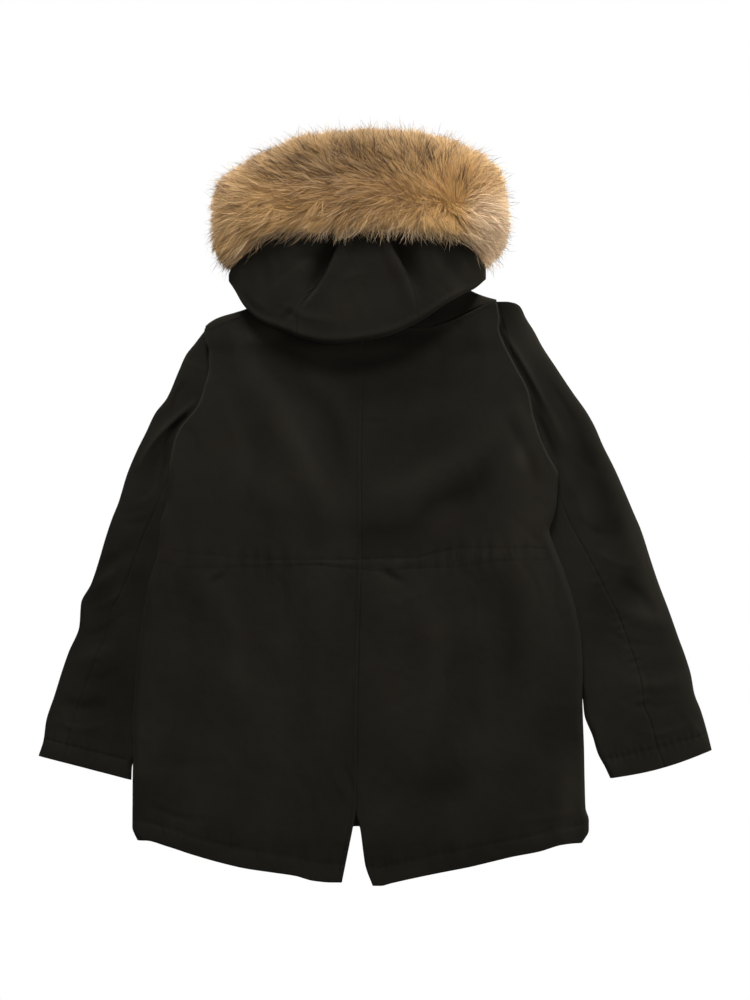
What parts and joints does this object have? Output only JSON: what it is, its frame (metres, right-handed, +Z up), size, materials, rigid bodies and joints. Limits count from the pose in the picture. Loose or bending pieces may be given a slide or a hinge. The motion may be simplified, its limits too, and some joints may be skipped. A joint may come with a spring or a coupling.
{
  "type": "hooded parka",
  "caption": "Hip-length hooded parka with a gathered waist, a split fishtail hem and a long fur trimmed hood, laid flat with its back up.",
  "frame": {"origin": "centre of the bounding box's underside, on the surface that the coat lies on", "axes": "+Z up out of the back of the coat, +Y from the hem to the hood, +X across the back towards the wearer's right"},
  "size_m": [0.8076, 0.912, 0.078],
  "materials": {
    "shell": "matt cotton cloth, near black with a brown cast",
    "lining": "matt lining cloth",
    "fur": "long faux fur, camel with dark brown tips"
  },
  "bodies": {
    "root": {"back_left": "shell", "back_right": "shell", "front_left": "shell", "front_right": "shell", "front_placket": "shell", "sleeve_left_top": "shell", "sleeve_left_under": "shell", "sleeve_right_top": "shell", "sleeve_right_under": "shell", "hood_left": "shell", "hood_center": "shell", "hood_right": "shell", "hood_lining": "lining", "fur_trim": "fur"}
  },
  "joints": []
}
